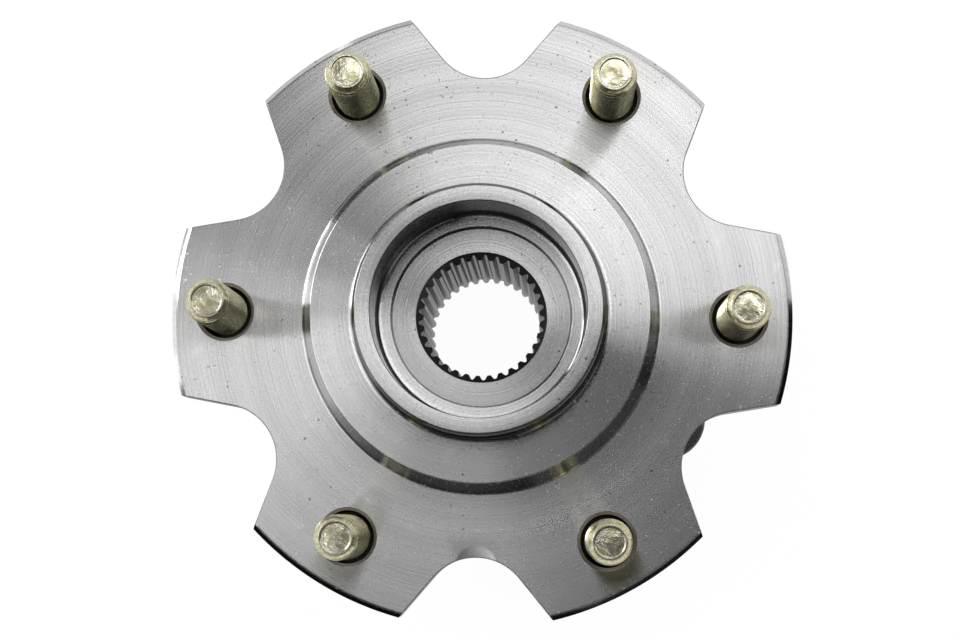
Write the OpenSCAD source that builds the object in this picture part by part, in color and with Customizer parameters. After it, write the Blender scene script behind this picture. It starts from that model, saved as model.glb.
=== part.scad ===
// Front wheel hub unit for a driven axle. A forged flange with six studs turns on two rows of
// tapered rollers, inside an outer ring whose four ears bolt to the steering knuckle.
// The spin axis is Z. Z = 0 is the face that the brake disc sits on, and the studs point to +Z.

/* [Wheel flange] */
// Outer radius of the wheel flange
flange_r = 84.4; // [80:0.1:92]
// Thickness of the wheel flange
flange_t = 12; // [9:0.5:14]
// Radial width of the bevel round the flange face
rim_bevel_w = 1.5; // [0.5:0.1:2.5]
// Height of the bevel round the flange face
rim_bevel_h = 1; // [0.5:0.1:3]
// Chamfer round the back of the flange
back_chamfer = 1; // [0.4:0.1:2]
// Radius from the axis to the floor of a notch
notch_floor_r = 65.5; // [62:0.5:72]
// Radius of the round floor of a notch
notch_round_r = 15; // [10:0.5:17]
// Slope of a notch's sides away from its middle line
notch_side_angle = 40; // [30:1:45]
// Fillet between the back of the flange and the seal land
root_fillet_r = 6; // [3:0.5:7]
// Depth of the forging mark at the edge of one notch
dip_depth = 0.8; // [0.3:0.1:1.5]
// Radius of the ball that gives the forging mark its shape
dip_ball_r = 26; // [15:1:40]

/* [Studs] */
// Number of studs, lobes and notches
stud_count = 6; // [5:1:6]
// Diameter of the circle through the studs
stud_circle_d = 139.7; // [134:0.1:144]
// Diameter of the stud thread
stud_d = 12; // [10:0.5:13]
// Height of the stud tips over the flange face
stud_h = 29; // [24:0.5:45]
// Diameter of the stud hole and of the pressed shank
stud_hole_d = 14.3; // [14:0.1:15]
// Chamfer at the mouth of a stud hole
stud_hole_chamfer = 0.9; // [0.3:0.1:1.5]
// Depth from the flange face to the top of the pressed shank
shank_depth = 4.5; // [2:0.5:7]
// Diameter of the stud head
stud_head_d = 21; // [18:0.5:24]
// Height of the stud head
stud_head_h = 4.5; // [3:0.5:6]
// Diameter of the rim round the dished stud tip
stud_tip_d = 8.6; // [6:0.1:9.5]

/* [Boss and wheel pilot] */
// Radius of the disc boss at the flange face
boss_foot_r = 48; // [46:0.1:52]
// Radius of the disc boss at its top
boss_top_r = 45.7; // [42:0.1:48]
// Height of the disc boss
boss_h = 7.5; // [4:0.1:10]
// Fillet at the foot of the disc boss
boss_fillet_r = 1; // [0.5:0.1:2]
// Radius of the wheel pilot
pilot_r = 33.55; // [32:0.05:38]
// Height of the wheel pilot over the boss
pilot_h = 9; // [5:0.1:14]
// Bevel at the top of the wheel pilot
pilot_bevel = 0.8; // [0.3:0.1:1.5]
// Fillet at the foot of the wheel pilot
pilot_fillet_r = 1.4; // [0.5:0.1:2.5]

/* [Hub cap recess] */
// Radius of the bore that the hub cap presses into
cap_bore_r = 28.8; // [27:0.1:30]
// Depth of the recess floor below the flange face
recess_floor_depth = 4.3; // [2:0.1:6]
// Round corner between the recess wall and its floor
recess_corner_r = 1.7; // [0.5:0.1:2.5]
// Radius of the step round the axle nut seat
nut_step_r = 24.9; // [22:0.1:26]
// Depth of the step round the axle nut seat
nut_step_h = 1.7; // [0.5:0.1:3]
// Slope width of the step round the axle nut seat
nut_step_slope = 0.5; // [0.1:0.1:1]

/* [Drive spline] */
// Number of spline teeth
spline_teeth = 33; // [28:1:36]
// Spline module, the pitch diameter over the tooth count
spline_module = 1; // [0.9:0.01:1.05]
// Pressure angle of the spline
spline_angle = 30; // [30:0.5:37.5]
// Depth of the tooth spaces outside the pitch circle, in modules
spline_root_share = 0.75; // [0.6:0.05:0.8]
// Height of the teeth inside the pitch circle, in modules
spline_tip_share = 0.5; // [0.4:0.05:0.6]
// Radial chamfer from the nut seat down to the tooth tips
spline_chamfer = 2.05; // [1.5:0.05:2.5]
// Radial lead-in from the inboard end to the tooth tips
spline_lead = 4; // [2:0.1:5]

/* [Spindle and inner rings] */
// Distance from the circle through the rollers in to the spindle
spindle_inset = 12; // [11:0.1:13]
// Depth of the spindle shoulder below the flange face
shoulder_depth = 18.5; // [18:0.1:20]
// Fillet at the spindle shoulder
shoulder_fillet_r = 1.2; // [0.5:0.1:1.5]
// Chamfer on the inner rings, clear of the shoulder fillet
ring_chamfer = 1.6; // [1.6:0.1:2.5]
// Width of the outboard inner ring
outboard_ring_w = 19.5; // [19.2:0.1:22]
// Width of the inboard inner ring
inboard_ring_w = 23; // [22.6:0.1:25]
// Distance from the circle through the rollers in to the edge of the large rib
rib_inset = 0.8; // [0.5:0.1:1.2]
// Height of the small rib over the race
small_rib_h = 1.1; // [0.5:0.1:1.5]
// Thickness of the formed collar that holds the inner rings
collar_t = 3; // [2:0.1:5]
// Radial width of the formed collar
collar_w = 5; // [4:0.1:8]
// Round outer edge of the formed collar
collar_round_r = 2.2; // [1:0.1:2.6]
// Width of the clip that joins the inner rings
clip_w = 3; // [2:0.1:4]
// Thickness of the clip
clip_t = 1.1; // [0.8:0.1:1.3]
// Play round the clip in its groove
clip_play = 0.1; // [0.05:0.05:0.2]
// Angle of the gap in the clip
clip_gap_angle = 20; // [10:1:40]

/* [Rollers and cages] */
// Number of rollers in a row
roller_count = 20; // [16:1:20]
// Distance from the seal bore in to the circle through the middles of the rollers
roller_inset = 7.7; // [7.6:0.05:7.9]
// Slope of the outer race to the axis
cup_angle = 15; // [14:0.1:16]
// Half of a roller's own taper
roller_half_angle = 1.75; // [1.6:0.01:1.8]
// Length of a roller
roller_len = 13.5; // [11:0.1:13.7]
// Distance of the rollers' middle from the joint of the inner rings
roller_mid = 9.3; // [9.1:0.05:9.5]
// Chamfer at the ends of a roller
roller_chamfer = 0.4; // [0.2:0.1:0.6]
// Running clearance between a roller and each race
roller_play = 0.12; // [0.05:0.01:0.2]
// Clearance between a roller's end and the large rib
rib_play = 0.2; // [0.1:0.05:0.4]
// Thickness of a cage
cage_t = 1.4; // [1:0.1:1.6]
// Clearance between a roller and its window in the cage
window_play = 0.25; // [0.15:0.05:0.35]
// Width of the rim at each end of a cage
cage_rim_w = 2; // [1.5:0.1:2.1]
// How far the cage's inner face lies outside the roller axes
cage_lift = 0.4; // [0.2:0.1:0.8]

/* [Outer ring] */
// Depth of the outboard end of the outer ring below the flange face
ring_top_depth = 14; // [13.8:0.1:15]
// Outer radius of the ring outboard of its ears
body_r = 49; // [47:0.1:51]
// Bevel at the outboard end of the ring
body_bevel = 1.5; // [0.5:0.1:2.5]
// Radius of the register that fits in the knuckle
register_r = 47; // [46:0.1:49]
// Distance from the end of the inboard inner ring back to the end of the outer ring
ring_end_step = 0.5; // [0.2:0.1:1]
// Bevel at the end of the register
register_bevel = 1.5; // [0.5:0.1:2]
// Depth of the mounting face below the flange face
mount_face_depth = 47; // [45:0.5:48]
// Thickness of the ears
ear_t = 12; // [9:0.5:14]
// Radius of an ear's round end
ear_r = 11.6; // [10:0.1:13]
// Number of ears
ear_count = 4; // [3:1:4]
// Angle of the first ear from the first stud
ear_angle = -26.3; // [-45:0.1:45]
// Diameter of the circle through the mounting holes
mount_circle_d = 116; // [114:0.5:122]
// Diameter of the tapped mounting holes, at the tap drill
mount_hole_d = 10.75; // [8.5:0.05:12.5]
// Chamfer at the mouth of a mounting hole
mount_hole_chamfer = 0.8; // [0.3:0.1:1.2]
// Fillet between an ear and the ring
ear_fillet_r = 9; // [6:0.5:12]
// Fillet where the ears rise from the body
neck_fillet_r = 4; // [2:0.5:6]
// Depth of the bore below the race's small ends, between the races
middle_land_h = 0.5; // [0.2:0.1:1]
// Half width of the land between the races
middle_land_w = 1.8; // [1.2:0.1:2.4]
// Wall of the ring round the bores that the seals press into
seal_wall_t = 4.3; // [3.5:0.1:5]

/* [Seals] */
// Sheet thickness of the seal cases
case_t = 0.9; // [0.6:0.1:1.2]
// Clearance between a cage and the seal next to it
seal_gap = 0.6; // [0.4:0.1:1]
// Radial width of the seal cases
case_web_w = 4.3; // [3.8:0.1:4.6]
// Distance from the eye of the outboard seal case in to the land that its lip runs on
lip_reach = 3.4; // [2.5:0.1:4]
// Thickness of the lips' rubber web
lip_web_t = 1.3; // [0.8:0.1:1.6]
// Width of a lip at its edge
lip_edge_w = 0.4; // [0.2:0.1:0.6]
// Gap between a lip's edge and the surface that it runs on
lip_gap = 0.15; // [0.1:0.05:0.3]
// Sheet thickness of the slinger
slinger_t = 0.8; // [0.5:0.1:1]
// Gap round the slinger's edge
slinger_gap = 0.5; // [0.3:0.1:0.8]
// Thickness of the encoder ring
encoder_t = 0.8; // [0.5:0.1:1]
// Radial width of the encoder ring
encoder_w = 4.6; // [3:0.1:5]

/* [Hidden] */

$fn = 96;
past = 1; // how far a cutter runs past the face it cuts
stud_r = stud_d / 2;
stud_hole_r = stud_hole_d / 2;
stud_circle_r = stud_circle_d / 2;
pilot_top = boss_h + pilot_h;

// Radii of the bearing, from the register inwards
seal_bore_r = register_r - seal_wall_t;
case_eye_r = seal_bore_r - case_web_w;
seal_land_r = case_eye_r - lip_reach;
pitch_r = seal_bore_r - roller_inset;
large_rib_r = pitch_r - rib_inset;
spindle_r = pitch_r - spindle_inset;
collar_r = spindle_r + collar_w;

// Heights along the axis
shoulder_z = -shoulder_depth;
joint_z = shoulder_z - outboard_ring_w;
collar_z = joint_z - inboard_ring_w;
end_z = collar_z - collar_t;
mount_face_z = -mount_face_depth;
ring_end_z = collar_z + ring_end_step;

// Roller geometry: races, roller axes and cage all run to one point on the axis, so the rollers
// roll without slipping. Distances s are measured from the joint of the two inner rings.
axis_angle = cup_angle - roller_half_angle;
cone_angle = cup_angle - 2 * roller_half_angle;
apex_mid = pitch_r / sin(axis_angle);
apex_s = roller_mid - apex_mid * cos(axis_angle);
roller_near = apex_mid - roller_len / 2;
roller_far = apex_mid + roller_len / 2;
roller_near_r = roller_near * tan(roller_half_angle) - roller_play;
roller_far_r = roller_far * tan(roller_half_angle) - roller_play;
rib_s = apex_s + roller_far * cos(axis_angle) + roller_far_r * sin(axis_angle) + rib_play;
cage_lift_angle = cage_lift / apex_mid * 180 / PI;
cage_near = roller_near - window_play - cage_rim_w;
cage_far = roller_far + window_play + cage_rim_w;
cage_end_s = apex_s + cage_far * cos(axis_angle + cage_lift_angle);

// Distances from the joint of the inner rings to the ends of each row
outboard_end_s = -ring_top_depth - joint_z;
inboard_end_s = joint_z - ring_end_z;
seal_s = cage_end_s + seal_gap;
cup_end_s = seal_s - case_t / 2;
slinger_r = seal_bore_r - case_t - slinger_gap;
slinger_s = inboard_end_s - encoder_t - slinger_t;

function cup_r(s) = (s - apex_s) * tan(cup_angle);
function cone_r(s) = (s - apex_s) * tan(cone_angle);

// Points of an arc about [x, y] from angle a to angle b
function arc(x, y, r, a, b, steps = 6) =
    [for (i = [0:steps]) [x, y] + r * [cos(a + (b - a) * i / steps), sin(a + (b - a) * i / steps)]];

// A point at radius r and angle a
function polar(r, a) = r * [cos(a), sin(a)];

// Involute function, in degrees
function involute(a) = tan(a) * 180 / PI - a;

module around(count, first = 0) {
    for (i = [0:count - 1])
        rotate(first + i * 360 / count) children();
}

// Places a row that is drawn with its small end at s = 0 on either side of the joint
module row(outboard) {
    translate([0, 0, joint_z])
        mirror([0, 0, outboard ? 0 : 1]) children();
}

module revolve(points) {
    rotate_extrude() polygon(points);
}

// Wheel flange, boss, pilot and spindle, as one forging

function face_points() = concat(
    [[cap_bore_r, pilot_top], [pilot_r - pilot_bevel, pilot_top], [pilot_r, pilot_top - pilot_bevel]],
    arc(pilot_r + pilot_fillet_r, boss_h + pilot_fillet_r, pilot_fillet_r, 180, 270),
    [[boss_top_r, boss_h]],
    arc(boss_foot_r + boss_fillet_r, boss_fillet_r, boss_fillet_r, 200, 270),
    [[flange_r - rim_bevel_w, 0], [flange_r, -rim_bevel_h]]);

function spindle_points() = concat(
    [[flange_r, back_chamfer - flange_t], [flange_r - back_chamfer, -flange_t]],
    arc(seal_land_r + root_fillet_r, -flange_t - root_fillet_r, root_fillet_r, 90, 180, 8),
    [[seal_land_r, shoulder_z]],
    arc(spindle_r + shoulder_fillet_r, shoulder_z - shoulder_fillet_r, shoulder_fillet_r, 90, 180),
    [[spindle_r, collar_z], [collar_r, collar_z]],
    arc(collar_r - collar_round_r, end_z + collar_round_r, collar_round_r, 0, -90));

nut_seat_z = -recess_floor_depth - nut_step_h;
pitch_circle_r = spline_teeth * spline_module / 2;
spline_tip_r = pitch_circle_r - spline_tip_share * spline_module;
spline_root_r = pitch_circle_r + spline_root_share * spline_module;

function bore_points() = concat(
    [[spline_tip_r + spline_lead, end_z], [spline_tip_r, end_z + spline_lead],
        [spline_tip_r, nut_seat_z - spline_chamfer], [spline_tip_r + spline_chamfer, nut_seat_z],
        [nut_step_r - nut_step_slope, nut_seat_z], [nut_step_r, -recess_floor_depth]],
    arc(cap_bore_r - recess_corner_r, recess_corner_r - recess_floor_depth, recess_corner_r, -90, 0));

module notch() {
    side = flange_r * cos(notch_side_angle);
    middle = notch_floor_r + notch_round_r;
    tangent = polar(notch_round_r, 90 + notch_side_angle);
    translate([middle, 0, -flange_t - past])
        linear_extrude(flange_t + 2 * past)
            polygon(concat(
                arc(0, 0, notch_round_r, 90 + notch_side_angle, 270 - notch_side_angle, 16),
                [[tangent[0] + side, -tangent[1] - side * tan(notch_side_angle)],
                    [tangent[0] + side, tangent[1] + side * tan(notch_side_angle)]]));
}

// The shaft that fills the spline, whose tooth sides are involutes
function space_half_angle(r) =
    90 / spline_teeth + involute(spline_angle)
    - involute(acos(pitch_circle_r * cos(spline_angle) / r));

// The sides start inside the tooth tips, so that no corner lies on the bore's own wall
module spline_spaces() {
    steps = 4;
    start_r = spline_tip_r - spline_module / 4;
    radii = [for (i = [0:steps]) start_r + (spline_root_r - start_r) * i / steps];
    pitch_angle = 360 / spline_teeth;
    translate([0, 0, end_z - past])
        linear_extrude(nut_seat_z - end_z + past)
            polygon([for (i = [0:spline_teeth - 1], p = concat(
                [for (r = radii) polar(r, i * pitch_angle - space_half_angle(r))],
                [for (k = [steps:-1:0])
                    polar(radii[k], i * pitch_angle + space_half_angle(radii[k]))])) p]);
}

module stud_hole() {
    translate([stud_circle_r, 0, -flange_t - past])
        cylinder(h = flange_t + 2 * past, r = stud_hole_r);
    translate([stud_circle_r, 0, -stud_hole_chamfer])
        cylinder(h = stud_hole_chamfer + past, r1 = stud_hole_r,
            r2 = stud_hole_r + stud_hole_chamfer + past);
}

module forging_dip() {
    rotate(-90)
        translate([notch_floor_r, 0, dip_ball_r - dip_depth]) sphere(r = dip_ball_r);
}

module hub_flange() {
    color("silver")
        difference() {
            revolve(concat(face_points(), spindle_points(), bore_points()));
            around(stud_count, 180 / stud_count) notch();
            around(stud_count) stud_hole();
            forging_dip();
            spline_spaces();
        }
}

// Studs, pressed in from behind

module wheel_stud(index) {
    head_z = -flange_t - stud_head_h;
    edge = 0.6;
    lead_h = 3;
    lead = 0.45;
    tip_slope = 1.2;
    dish = 0.7;
    tip_r = stud_tip_d / 2;
    color("darkkhaki")
        rotate(index * 360 / stud_count)
            translate([stud_circle_r, 0, 0])
                revolve([[0, head_z], [stud_head_d / 2 - edge, head_z],
                    [stud_head_d / 2, head_z + edge], [stud_head_d / 2, -flange_t],
                    [stud_hole_r, -flange_t], [stud_hole_r, -shank_depth - edge],
                    [stud_hole_r - edge, -shank_depth], [stud_r, -shank_depth],
                    [stud_r, stud_h - tip_slope - lead_h], [stud_r - lead, stud_h - tip_slope],
                    [tip_r, stud_h], [tip_r - dish, stud_h - dish], [0, stud_h - dish]]);
}

// Outer ring, which stands still

function ring_bore_points() = [
    [seal_bore_r, joint_z - inboard_end_s], [seal_bore_r, joint_z - cup_end_s],
    [cup_r(cup_end_s), joint_z - cup_end_s], [cup_r(middle_land_w), joint_z - middle_land_w],
    [cup_r(middle_land_w) - middle_land_h, joint_z - middle_land_w + middle_land_h],
    [cup_r(middle_land_w) - middle_land_h, joint_z + middle_land_w - middle_land_h],
    [cup_r(middle_land_w), joint_z + middle_land_w], [cup_r(cup_end_s), joint_z + cup_end_s],
    [seal_bore_r, joint_z + cup_end_s], [seal_bore_r, joint_z + outboard_end_s]];

function ring_outside_points() = concat(
    [[body_r - body_bevel, -ring_top_depth], [body_r, -ring_top_depth - body_bevel]],
    arc(body_r + neck_fillet_r, mount_face_z + ear_t + neck_fillet_r, neck_fillet_r, 180, 270),
    [[body_r + neck_fillet_r, mount_face_z], [register_r, mount_face_z],
        [register_r, ring_end_z + register_bevel], [register_r - register_bevel, ring_end_z]]);

// Outline of the mounting flange: round ears that run into the body through fillets
module ear_outline() {
    blend = ear_r + ear_fillet_r;
    blend_r = body_r + neck_fillet_r + ear_fillet_r;
    along = sqrt(blend_r * blend_r - blend * blend);
    turn = atan2(blend, along);
    polygon([for (i = [0:ear_count - 1]) let(a = ear_angle + i * 360 / ear_count)
        for (p = concat(
            arc(along, -blend, ear_fillet_r, 180 - turn, 90, 12),
            arc(mount_circle_d / 2, 0, ear_r, -90, 90, 36),
            arc(along, blend, ear_fillet_r, 270, 180 + turn, 12)))
            [p[0] * cos(a) - p[1] * sin(a), p[0] * sin(a) + p[1] * cos(a)]]);
}

module mount_hole() {
    translate([mount_circle_d / 2, 0, mount_face_z - past])
        cylinder(h = ear_t + 2 * past, d = mount_hole_d);
    translate([mount_circle_d / 2, 0, mount_face_z - past])
        cylinder(h = past + mount_hole_chamfer, r1 = mount_hole_d / 2 + mount_hole_chamfer + past,
            r2 = mount_hole_d / 2);
}

module outer_ring() {
    inside_r = (register_r + seal_bore_r) / 2;
    color("dimgray")
        difference() {
            union() {
                revolve(concat(ring_bore_points(), ring_outside_points()));
                translate([0, 0, mount_face_z])
                    linear_extrude(ear_t)
                        difference() {
                            ear_outline();
                            circle(r = inside_r);
                        }
            }
            around(ear_count, ear_angle) mount_hole();
        }
}

// Inner rings, drawn with their small end at s = 0

module inner_ring(width) {
    race_s = rib_s - rib_play;
    small_rib_s = apex_s + roller_near * cos(axis_angle) + rib_play;
    groove_r = spindle_r + clip_t + 2 * clip_play;
    groove_w = clip_w / 2 + clip_play;
    relief = 0.3;
    color("lightsteelblue")
        revolve([[groove_r, 0], [cone_r(0) + small_rib_h - relief, 0],
            [cone_r(0) + small_rib_h, relief], [cone_r(small_rib_s) + small_rib_h, small_rib_s],
            [cone_r(small_rib_s), small_rib_s + relief], [cone_r(race_s), race_s],
            [cone_r(race_s), rib_s], [large_rib_r, rib_s], [large_rib_r, width - relief],
            [large_rib_r - relief, width], [spindle_r + ring_chamfer, width],
            [spindle_r, width - ring_chamfer], [spindle_r, groove_w], [groove_r, groove_w]]);
}

module outboard_inner_ring() {
    row(true) inner_ring(outboard_ring_w);
}

module inboard_inner_ring() {
    row(false) inner_ring(inboard_ring_w);
}

module inner_ring_clip() {
    color("gray")
        rotate(clip_gap_angle / 2)
            translate([0, 0, joint_z])
                rotate_extrude(angle = 360 - clip_gap_angle)
                    translate([spindle_r + clip_play, -clip_w / 2]) square([clip_t, clip_w]);
}

// Rollers and cages

module along_roller() {
    translate([0, 0, apex_s]) rotate([0, axis_angle, 0]) children();
}

module rollers() {
    c = roller_chamfer;
    color("gainsboro")
        around(roller_count) along_roller()
            translate([0, 0, roller_near])
                revolve([[0, 0], [roller_near_r - c, 0], [roller_near_r, c],
                    [roller_far_r, roller_len - c], [roller_far_r - c, roller_len],
                    [0, roller_len]]);
}

// A window is as long as its roller and widens with it
module cage_window() {
    near_w = roller_near_r + window_play;
    far_w = roller_far_r + window_play;
    reach = roller_far_r;
    along_roller()
        rotate([90, 0, 90])
            linear_extrude(reach)
                polygon([[-near_w, roller_near - window_play], [near_w, roller_near - window_play],
                    [far_w, roller_far + window_play], [-far_w, roller_far + window_play]]);
}

module cage() {
    inner = axis_angle + cage_lift_angle;
    near_t = cage_t / apex_mid * 180 / PI;
    near = [for (a = [inner, inner + near_t]) [cage_near * sin(a), apex_s + cage_near * cos(a)]];
    far = [for (a = [inner, inner + near_t]) [cage_far * sin(a), apex_s + cage_far * cos(a)]];
    color("goldenrod")
        difference() {
            revolve([near[0], near[1], far[1], far[0]]);
            around(roller_count) cage_window();
        }
}

module outboard_rollers() {
    row(true) rollers();
}

module inboard_rollers() {
    row(false) rollers();
}

module outboard_cage() {
    row(true) cage();
}

module inboard_cage() {
    row(false) cage();
}

// Seals, with s measured from the joint of the inner rings

// A pressed ring with an outer wall of radius r and a web that reaches in to the eye
module seal_case(end_s) {
    color("lightslategray")
        revolve([[case_eye_r, seal_s], [seal_bore_r, seal_s], [seal_bore_r, end_s],
            [seal_bore_r - case_t, end_s], [seal_bore_r - case_t, seal_s + case_t],
            [case_eye_r, seal_s + case_t]]);
}

// Rubber bonded to the eye of the case, with one lip towards the axis and one along it
module seal_lip(run_r, axial_r, axial_s) {
    root = case_eye_r - lip_web_t;
    color("#303030")
        revolve([[case_eye_r, seal_s], [case_eye_r, seal_s + case_t],
            [axial_r + lip_edge_w, axial_s], [axial_r, axial_s], [root, seal_s + case_t],
            [run_r + lip_gap, seal_s + lip_edge_w], [run_r + lip_gap, seal_s]]);
}

module outboard_seal_case() {
    row(true) seal_case(outboard_end_s - slinger_gap);
}

// The axial lip runs on the fillet at the root of the flange
module outboard_seal_lip() {
    fillet_x = seal_land_r + root_fillet_r - case_eye_r;
    fillet_z = sqrt(root_fillet_r * root_fillet_r - fillet_x * fillet_x);
    row(true)
        seal_lip(seal_land_r, case_eye_r,
            -flange_t - root_fillet_r - joint_z + fillet_z - 2 * lip_gap);
}

module inboard_seal_case() {
    row(false) seal_case(inboard_end_s - slinger_gap);
}

module inboard_seal_lip() {
    row(false)
        seal_lip(large_rib_r + slinger_t, case_eye_r, slinger_s - lip_gap);
}

module inboard_slinger() {
    color("lightgray")
        row(false)
            revolve([[large_rib_r, seal_s - slinger_t], [large_rib_r + slinger_t, seal_s - slinger_t],
                [large_rib_r + slinger_t, slinger_s], [slinger_r, slinger_s],
                [slinger_r, slinger_s + slinger_t], [large_rib_r, slinger_s + slinger_t]]);
}

module encoder_ring() {
    color("#2a2622")
        row(false)
            translate([0, 0, slinger_s + slinger_t])
                difference() {
                    cylinder(h = encoder_t, r = slinger_r);
                    translate([0, 0, -past])
                        cylinder(h = encoder_t + 2 * past, r = slinger_r - encoder_w);
                }
}

hub_flange();
wheel_stud(0);  // wheel_stud_1
wheel_stud(1);  // wheel_stud_2
wheel_stud(2);  // wheel_stud_3
wheel_stud(3);  // wheel_stud_4
wheel_stud(4);  // wheel_stud_5
wheel_stud(5);  // wheel_stud_6
outer_ring();
outboard_inner_ring();
inboard_inner_ring();
inner_ring_clip();
outboard_rollers();
inboard_rollers();
outboard_cage();
inboard_cage();
outboard_seal_case();
outboard_seal_lip();
inboard_seal_case();
inboard_seal_lip();
inboard_slinger();
encoder_ring();
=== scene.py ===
from math import atan2, cos, pi, radians, sin, sqrt

import bmesh
import bpy
import numpy as np
from mathutils import Matrix, Vector
from mathutils.geometry import delaunay_2d_cdt


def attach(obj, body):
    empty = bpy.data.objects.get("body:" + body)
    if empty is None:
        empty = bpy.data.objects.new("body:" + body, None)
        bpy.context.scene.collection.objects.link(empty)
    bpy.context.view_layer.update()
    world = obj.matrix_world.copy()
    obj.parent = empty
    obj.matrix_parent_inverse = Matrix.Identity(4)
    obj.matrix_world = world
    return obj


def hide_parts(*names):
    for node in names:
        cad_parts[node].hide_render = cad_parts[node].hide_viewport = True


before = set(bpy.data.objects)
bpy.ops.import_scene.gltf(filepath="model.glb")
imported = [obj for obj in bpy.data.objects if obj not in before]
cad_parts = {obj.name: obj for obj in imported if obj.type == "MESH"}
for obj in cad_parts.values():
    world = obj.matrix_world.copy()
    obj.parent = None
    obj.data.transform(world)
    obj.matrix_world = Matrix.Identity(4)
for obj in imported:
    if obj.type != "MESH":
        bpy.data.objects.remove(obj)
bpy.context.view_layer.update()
mm = 0.001


# Surfaces. Shapes are worked out in millimetres and become metres when a piece is made.

# Even steps round the axis, in radians: the first angle plus equal shares of a full turn
def circleAngles(count, first=0.0):
    return first + np.arange(count) * 2 * pi / count


# Each corner (radius, height, rounding) turns into an arc that touches both of its edges. A point
# of the arc is its centre plus the two contact radii, weighed by the sines of the angles to them.
def roundedProfile(corners, steps=6):
    table = np.array(corners, float)
    corner, rounding = table[:, :2], table[:, 2:]
    back = np.roll(corner, 1, 0) - corner
    ahead = np.roll(corner, -1, 0) - corner
    back /= np.linalg.norm(back, axis=1, keepdims=True)
    ahead /= np.linalg.norm(ahead, axis=1, keepdims=True)
    opening = np.sum(back * ahead, 1, keepdims=True)
    sinHalf = np.sqrt((1 - opening) / 2)
    cosHalf = np.sqrt((1 + opening) / 2)
    middle = (back + ahead) / np.maximum(2 * cosHalf, 1e-9) * rounding / sinHalf
    reach = rounding * cosHalf / sinHalf
    turn = np.maximum(pi - np.arccos(np.clip(opening, -1, 1)), 1e-6)
    share = np.linspace(0, 1, steps)[None, :, None]
    turn, middle = turn[:, None], middle[:, None]
    first = (back * reach)[:, None] - middle
    last = (ahead * reach)[:, None] - middle
    arc = (np.sin((1 - share) * turn) * first + np.sin(share * turn) * last) / np.sin(turn)
    return (corner[:, None] + middle + arc).reshape(-1, 2)


# A profile (radius, height) is carried round the axis: x = radius cos, y = radius sin
def revolved(profile, angles):
    radius, height = profile[:, :1], profile[:, 1:]
    return np.stack((radius * np.cos(angles), radius * np.sin(angles), height + 0 * angles), -1)


# Moves points and then turns them about the axis: x cos - y sin, x sin + y cos
def placed(points, angle=0.0, shift=(0, 0, 0)):
    turned = np.array(((cos(angle), sin(angle), 0), (-sin(angle), cos(angle), 0), (0, 0, 1)))
    return (points + np.array(shift, float)) @ turned


# The same turn on flat points, for a whole row of angles: the copies follow each other in one loop
def turnedCopies(part, angles):
    axes = np.stack((np.stack((np.cos(angles), np.sin(angles)), -1),
                     np.stack((-np.sin(angles), np.cos(angles)), -1)), 1)
    return np.einsum("pi,kij->kpj", part, axes).reshape(-1, 2)


# A shell gathers points and faces. Each face has the number of its finish, and 1 for flat or 0.
def newShell():
    return {"points": [], "faces": [], "finish": [], "flat": [], "count": 0}


# Joins the points of a grid to their neighbours in four-sided faces, and closes the columns. The
# finish is one number for all faces, or an array with one for each row or each face.
def addGrid(shell, points, finish=0, closed=True):
    rows, columns = points.shape[:2]
    ids = shell["count"] + np.arange(rows * columns).reshape(rows, columns)
    across = np.roll(ids, -1, 1)
    faces = np.stack((ids[:-1], across[:-1], across[1:], ids[1:]), -1)
    faces = (faces if closed else faces[:, :-1]).reshape(-1, 4)
    finishes = np.broadcast_to(finish, (rows - 1, columns if closed else columns - 1))
    shell["points"].append(points.reshape(-1, 3))
    shell["faces"] += faces.tolist()
    shell["finish"] += finishes.ravel().tolist()
    shell["flat"] += [0] * len(faces)
    shell["count"] += rows * columns


# Fills the area between an outer loop and the loops inside it with triangles. A triangle stays if a
# line from its middle to the right crosses the loops an odd number of times.
def addFlat(shell, loops, height, finish=0, extra=()):
    flat = np.concatenate([loop[:, :2] for loop in loops])
    starts = np.concatenate([np.roll(loop[:, :2], 1, 0) for loop in loops])
    ids = np.split(np.arange(len(flat)), np.cumsum([len(loop) for loop in loops])[:-1])
    edges = np.concatenate([np.stack((i, np.roll(i, -1)), -1) for i in ids]).tolist()
    flat = np.concatenate((flat, np.reshape(extra, (-1, 2))))
    result = delaunay_2d_cdt([Vector(p) for p in flat], edges, [], 0, 1e-6)
    found = np.array([flat[known[0]] if known else tuple(p) for p, known in zip(result[0], result[3])])
    triangles = np.array(result[2])
    x, y = found[triangles].mean(1).T[..., None]
    (x1, y1), (x2, y2) = starts.T, flat[:len(starts)].T
    rise = np.where(y1 == y2, 1, y2 - y1)
    crosses = ((y1 > y) != (y2 > y)) & (x < x1 + (x2 - x1) * (y - y1) / rise)
    triangles = triangles[crosses.sum(1) % 2 == 1]
    level = height(found) if callable(height) else np.full(len(found), height)
    shell["points"].append(np.column_stack((found, level)))
    shell["faces"] += (shell["count"] + triangles).tolist()
    kinds = finish(found[triangles].mean(1)) if callable(finish) else np.full(len(triangles), finish)
    shell["finish"] += kinds.tolist()
    shell["flat"] += [1] * len(triangles)
    shell["count"] += len(found)


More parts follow.
